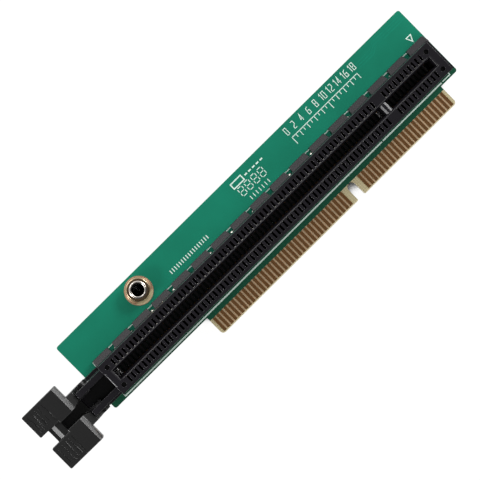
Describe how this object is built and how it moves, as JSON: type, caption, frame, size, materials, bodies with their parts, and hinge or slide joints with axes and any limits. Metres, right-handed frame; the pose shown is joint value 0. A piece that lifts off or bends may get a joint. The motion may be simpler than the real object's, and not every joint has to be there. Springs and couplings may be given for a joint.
{
  "type": "riser card",
  "caption": "Narrow printed board with a long keyed card slot, a hinged H-shaped slot latch at one end, a notched gold-pad tongue on one long edge and a threaded standoff.",
  "frame": {"origin": "under the middle of the whole part's box, on the plane of the solder tails' tips that it rests on", "axes": "+X along the slot from the latch end to the pin one end, +Y across the board from the tongue to the plain edge, +Z out of the slot's mouth"},
  "size_m": [0.1084, 0.0212, 0.0139],
  "materials": {
    "board": "green solder mask on glass-fibre laminate",
    "gold": "hard gold plate, darkened",
    "housing": "moulded glass-filled polyester",
    "contacts": "stamped spring bronze with plated tails",
    "lever": "moulded, fine spark texture",
    "standoff": "turned and tin plated, tarnished",
    "solder": "reflowed solder",
    "copper": "gold-flashed copper foil"
  },
  "bodies": {
    "card": {"board": "board", "front_pads_long_bank": "gold", "front_pads_short_bank": "gold", "back_pads_long_bank": "gold", "back_pads_short_bank": "gold", "slot_housing": "housing", "tongue_side_inner_contacts": "contacts", "tongue_side_outer_contacts": "contacts", "plain_side_inner_contacts": "contacts", "plain_side_outer_contacts": "contacts", "standoff": "standoff", "standoff_solder": "solder", "front_copper_ring": "copper", "back_copper_ring": "copper"},
    "latch": {"latch_lever": "lever"}
  },
  "joints": [
    {"name": "latch_hinge", "type": "hinge", "parent": "card", "child": "latch", "pos_m": [-0.04222, -0.00115, 0.0062], "axis": [0, -1, 0], "range_deg": [0, 20]}
  ]
}
